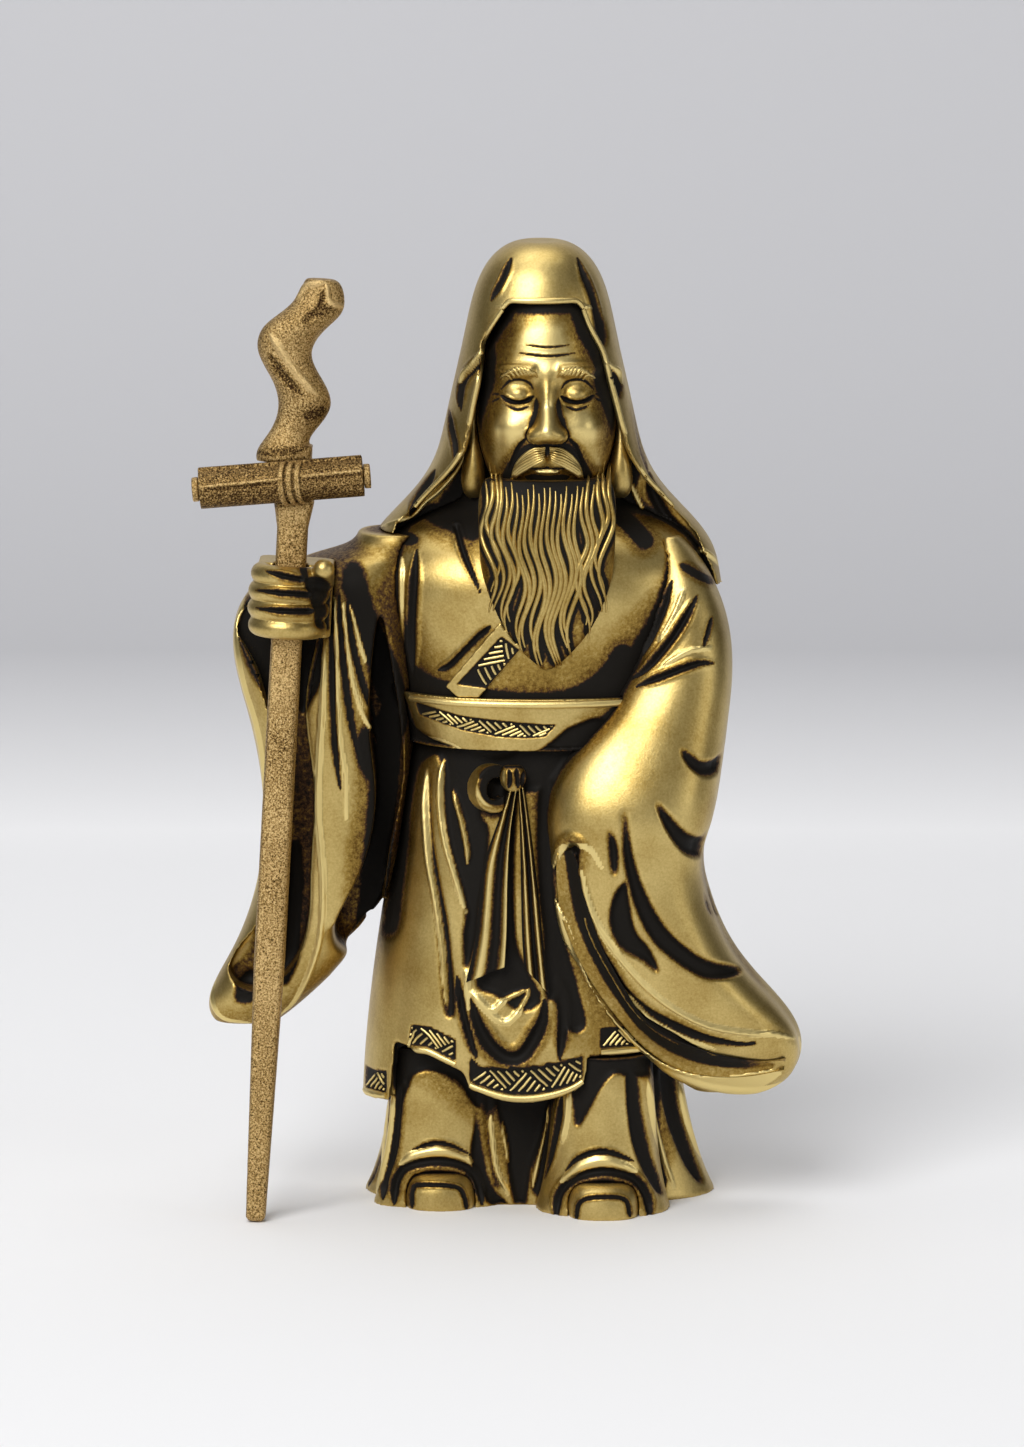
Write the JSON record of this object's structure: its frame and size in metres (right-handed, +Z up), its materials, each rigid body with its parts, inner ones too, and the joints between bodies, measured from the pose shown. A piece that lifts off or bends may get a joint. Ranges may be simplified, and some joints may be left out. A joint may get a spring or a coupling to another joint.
{
  "type": "okimono carving",
  "caption": "Small brass desk figure of a hooded, bearded old man in loose robes, with a loose staff and tied scroll that lift out of the fist.",
  "frame": {"origin": "on the floor, at the middle of the figure's flat underside", "axes": "+Z up from the floor, -Y the way the figure faces, +X towards its left hand"},
  "size_m": [0.0376, 0.0167, 0.06],
  "materials": {
    "brass_body": "satin, black patina in the recesses",
    "brass_staff": "sand-grained as cast"
  },
  "bodies": {
    "figure": {"under_robe": "brass_body", "right_shoe": "brass_body", "left_shoe": "brass_body", "robe_skirt": "brass_body", "robe_chest": "brass_body", "collar_band": "brass_body", "sash": "brass_body", "sash_knot": "brass_body", "sash_loop": "brass_body", "sash_tail_1": "brass_body", "sash_tail_2": "brass_body", "right_sleeve": "brass_body", "left_sleeve": "brass_body", "right_hand": "brass_body", "head": "brass_body", "right_ear": "brass_body", "left_ear": "brass_body", "beard": "brass_body", "hood": "brass_body"},
    "staff": {"staff": "brass_staff", "scroll": "brass_staff", "scroll_rod": "brass_staff", "scroll_tie_1": "brass_staff", "scroll_tie_2": "brass_staff", "scroll_tie_3": "brass_staff"}
  },
  "joints": [
    {"name": "staff_lift", "type": "slide", "parent": "figure", "child": "staff", "axis": [0.057, 0.0259, 0.998], "range_m": [0, 0.042]}
  ]
}
